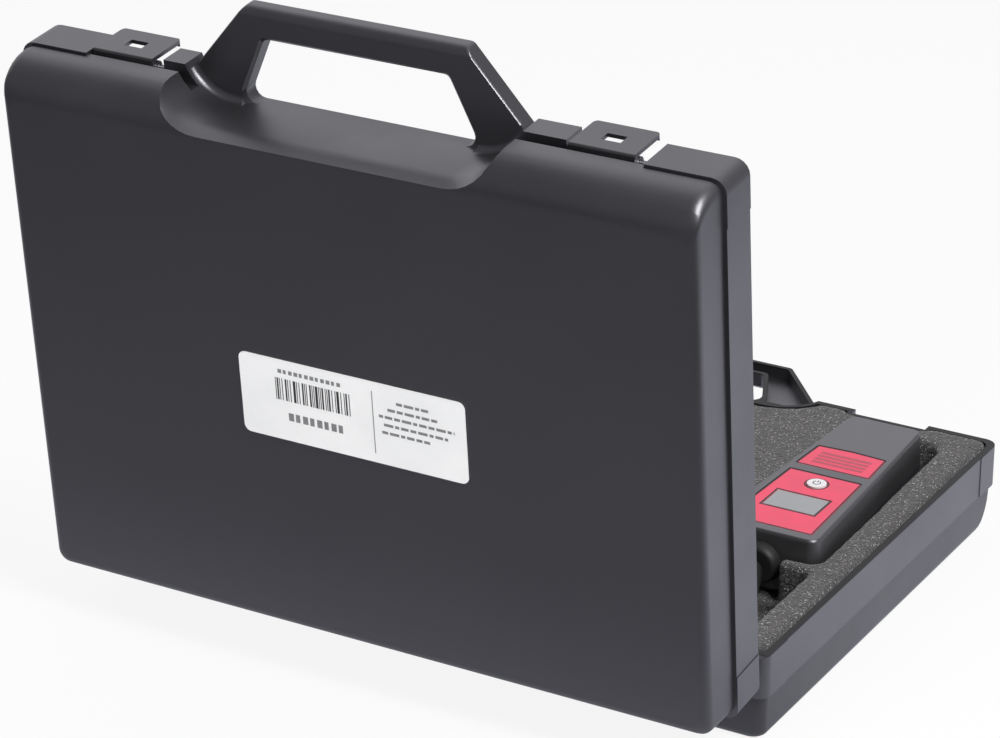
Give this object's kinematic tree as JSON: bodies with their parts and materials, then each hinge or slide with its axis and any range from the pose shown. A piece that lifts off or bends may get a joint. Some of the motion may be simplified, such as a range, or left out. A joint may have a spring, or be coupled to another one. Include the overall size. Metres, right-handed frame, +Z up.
{
  "type": "belt tension tester",
  "caption": "Hand-held belt tension tester with a gooseneck probe, lying in the cut foam of its open moulded carry case.",
  "frame": {"origin": "middle of the flat underside of the case base, on the surface that the case rests on", "axes": "+X along the case to the right of someone facing the lid's outside, +Y from the hinge side to the handle side, +Z up"},
  "size_m": [0.3032, 0.3161, 0.2762],
  "materials": {
    "case_plastic": "fine moulded grain, semi-matte black",
    "latch_plastic": "smooth black",
    "foam": "dark grey bonded foam with pale specks",
    "label_paper": "coated white paper",
    "tester_plastic": "dark grey, fine grain",
    "red_foil": "printed red foil with a dark outline",
    "display": "grey display behind a clear window",
    "button_plastic": "white",
    "rubber": "matte black",
    "steel": "bright zinc-plated",
    "board": "green glass-fibre laminate",
    "cell": "plain wrapped cell",
    "probe_plastic": "black",
    "lens": "dark red clear window"
  },
  "bodies": {
    "base": {"base_shell": "case_plastic", "base_foam": "foam", "hinge_pin_left": "steel", "hinge_pin_right": "steel"},
    "lid": {"lid_shell": "case_plastic", "lid_foam": "foam", "case_label": "label_paper", "latch_pin_left": "steel", "latch_pin_right": "steel"},
    "left_latch": {"latch_left": "latch_plastic"},
    "right_latch": {"latch_right": "latch_plastic"},
    "tester": {"tester_rear_housing": "tester_plastic", "tester_front_housing": "tester_plastic", "upper_panel": "red_foil", "lower_panel": "red_foil", "lcd_window": "display", "lcd_module": "board", "power_switch": "rubber", "circuit_board": "board", "battery_left": "cell", "battery_right": "cell", "battery_contact_near": "steel", "battery_contact_far": "steel", "battery_cover": "tester_plastic", "battery_cover_screw": "steel", "housing_screw_1": "steel", "housing_screw_2": "steel", "housing_screw_3": "steel", "housing_screw_4": "steel", "neck_boot": "rubber"},
    "button": {"power_button": "button_plastic"},
    "neck": {"probe_neck": "rubber", "sensor_head": "probe_plastic", "sensor_lens": "lens"}
  },
  "joints": [
    {"name": "lid_hinge", "type": "hinge", "parent": "base", "child": "lid", "pos_m": [0, -0.10933, 0.02965], "axis": [1, 0, 0], "range_deg": [-95.65, 0]},
    {"name": "left_latch_turn", "type": "hinge", "parent": "lid", "child": "left_latch", "pos_m": [-0.1074, -0.14986, 0.24479], "axis": [1, 0, 0], "range_deg": [-6, 100]},
    {"name": "right_latch_turn", "type": "hinge", "parent": "lid", "child": "right_latch", "pos_m": [0.0997, -0.14986, 0.24479], "axis": [1, 0, 0], "range_deg": [-6, 100]},
    {"name": "tester_lift", "type": "slide", "parent": "base", "child": "tester", "axis": [0, 0, 1], "range_m": [0, 0.06]},
    {"name": "power_button_press", "type": "slide", "parent": "tester", "child": "button", "axis": [0, 0, -1], "range_m": [0, 0.0008], "stiffness_N_per_m": 500},
    {"name": "neck_bend", "type": "hinge", "parent": "tester", "child": "neck", "pos_m": [0.11, -0.04275, 0.0345], "axis": [-1, 0, 0], "range_deg": [0, 90]}
  ]
}
